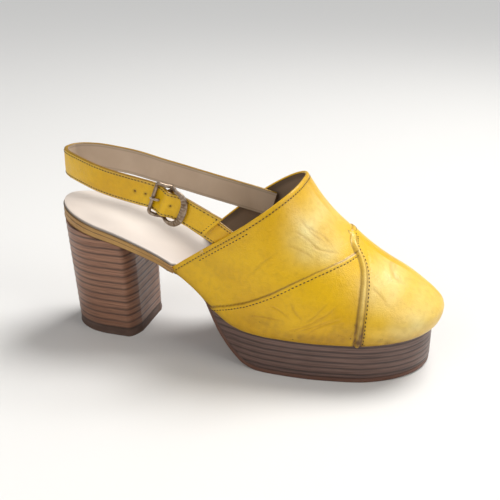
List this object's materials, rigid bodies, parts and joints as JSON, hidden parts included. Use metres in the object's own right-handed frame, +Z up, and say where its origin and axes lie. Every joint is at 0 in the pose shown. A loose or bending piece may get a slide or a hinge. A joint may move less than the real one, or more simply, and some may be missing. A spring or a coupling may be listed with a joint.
{
  "type": "platform slingback clog",
  "caption": "Right platform slingback clog: closed leather upper with a corded seam, buckled heel strap, stacked platform and block heel.",
  "frame": {"origin": "middle of the shoe's own box in plan, on the plane that the heel and the forefoot stand on", "axes": "+X from heel to toe, +Y towards the inner (medial) side, +Z up"},
  "size_m": [0.2446, 0.0872, 0.1162],
  "materials": {
    "golden_leather": "smooth polished leather, golden yellow, lightly worn",
    "edge_leather": "ochre leather rand, burnished",
    "sock_leather": "matt off-white sock leather",
    "stacked_leather": "stacked leather lifts, reddish brown, satin",
    "stacked_platform": "stacked layers, dark mauve brown, satin",
    "sole_leather": "brown sole leather, matt",
    "heel_rubber": "dull brown rubber",
    "dark_bronze": "antique dark bronze, worn lighter at the edges"
  },
  "bodies": {
    "root": {"upper": "golden_leather", "insole_board": "edge_leather", "insole_sock": "sock_leather", "platform": "stacked_platform", "outsole": "sole_leather", "heel": "stacked_leather", "heel_top_piece": "heel_rubber", "heel_strap": "golden_leather", "buckle_strap": "golden_leather", "buckle_frame": "dark_bronze", "buckle_prong": "dark_bronze"}
  },
  "joints": []
}
